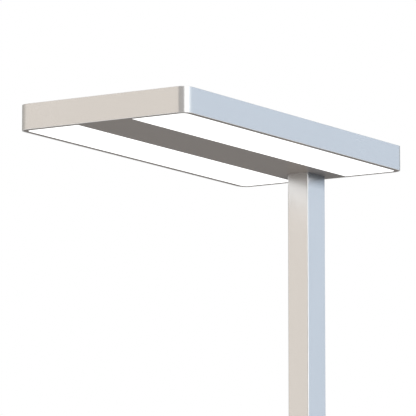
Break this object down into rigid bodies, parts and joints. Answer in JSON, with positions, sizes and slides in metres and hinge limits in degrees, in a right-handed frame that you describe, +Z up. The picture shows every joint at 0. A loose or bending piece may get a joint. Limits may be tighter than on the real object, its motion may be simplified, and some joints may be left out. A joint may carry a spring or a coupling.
{
  "type": "office floor lamp",
  "caption": "Free-standing office lamp: a long flat head with lit opal panels and uplight panels, carried near one end by a slim rectangular column on a flat base, with push-button control.",
  "frame": {"origin": "on the floor, on the column's axis, at the underside of the glide below the column", "axes": "+Z up, +X from the column towards the head's free end, +Y to the lamp's left"},
  "size_m": [0.646, 0.306, 1.95],
  "materials": {
    "silver_metal": "satin anodised",
    "column_metal": "satin anodised extrusion",
    "bezel_paint": "satin grey powder coat",
    "opal_panel": "opal, lit from behind",
    "clear_panel": "satin clear",
    "tray_white": "matt white coat",
    "board_white": "white solder mask",
    "mill_aluminium": "mill finish",
    "zinc_steel": "zinc plated",
    "cover_paint": "satin coat",
    "driver_case": "moulded white",
    "terminal_plastic": "moulded light grey",
    "wire_white": "white insulation",
    "lead_black": "black sheath",
    "black_rubber": "matt",
    "cast_mount": "as cast",
    "control_plastic": "fine texture",
    "button_plastic": "satin",
    "control_green": "solder mask",
    "plunger_plastic": "moulded",
    "base_paint": "fine texture powder coat",
    "foot_paint": "satin coat",
    "glide_plastic": "soft matt",
    "inlet_plastic": "moulded black",
    "pin_metal": "nickel plated"
  },
  "bodies": {
    "lamp": {"base_glides": "glide_plastic", "base_plate": "base_paint", "base_screws": "zinc_steel", "bottom_bezel": "bezel_paint", "cable_grommet": "black_rubber", "centre_spine": "mill_aluminium", "column_tube": "column_metal", "control_bezel": "control_plastic", "control_board": "control_green", "control_lead": "wire_white", "foot_casting": "foot_paint", "front_end_bracket": "zinc_steel", "head_frame": "silver_metal", "head_mount_plate": "cast_mount", "head_mount_screws": "zinc_steel", "head_wiring": "wire_white", "inlet_boot": "black_rubber", "inlet_pins": "pin_metal", "inlet_socket": "inlet_plastic", "led_driver": "driver_case", "left_diffuser": "opal_panel", "left_downlight_board": "board_white", "left_reflector_tray": "tray_white", "left_uplight_board": "board_white", "left_uplight_lens": "clear_panel", "mains_lead": "lead_black", "rear_end_bracket": "zinc_steel", "right_diffuser": "opal_panel", "right_downlight_board": "board_white", "right_reflector_tray": "tray_white", "right_uplight_board": "board_white", "right_uplight_lens": "clear_panel", "terminal_block": "terminal_plastic", "top_cover": "cover_paint"},
    "up_button": {"button_up": "button_plastic", "up_switch_plunger": "plunger_plastic"},
    "down_button": {"button_down": "button_plastic", "down_switch_plunger": "plunger_plastic"}
  },
  "joints": [
    {"name": "up_button_press", "type": "slide", "parent": "lamp", "child": "up_button", "axis": [-1, 0, 0], "range_m": [0, 0.0008], "stiffness_N_per_m": 1200, "springref_m": -0.0006},
    {"name": "down_button_press", "type": "slide", "parent": "lamp", "child": "down_button", "axis": [-1, 0, 0], "range_m": [0, 0.0008], "stiffness_N_per_m": 1200, "springref_m": -0.0006}
  ]
}
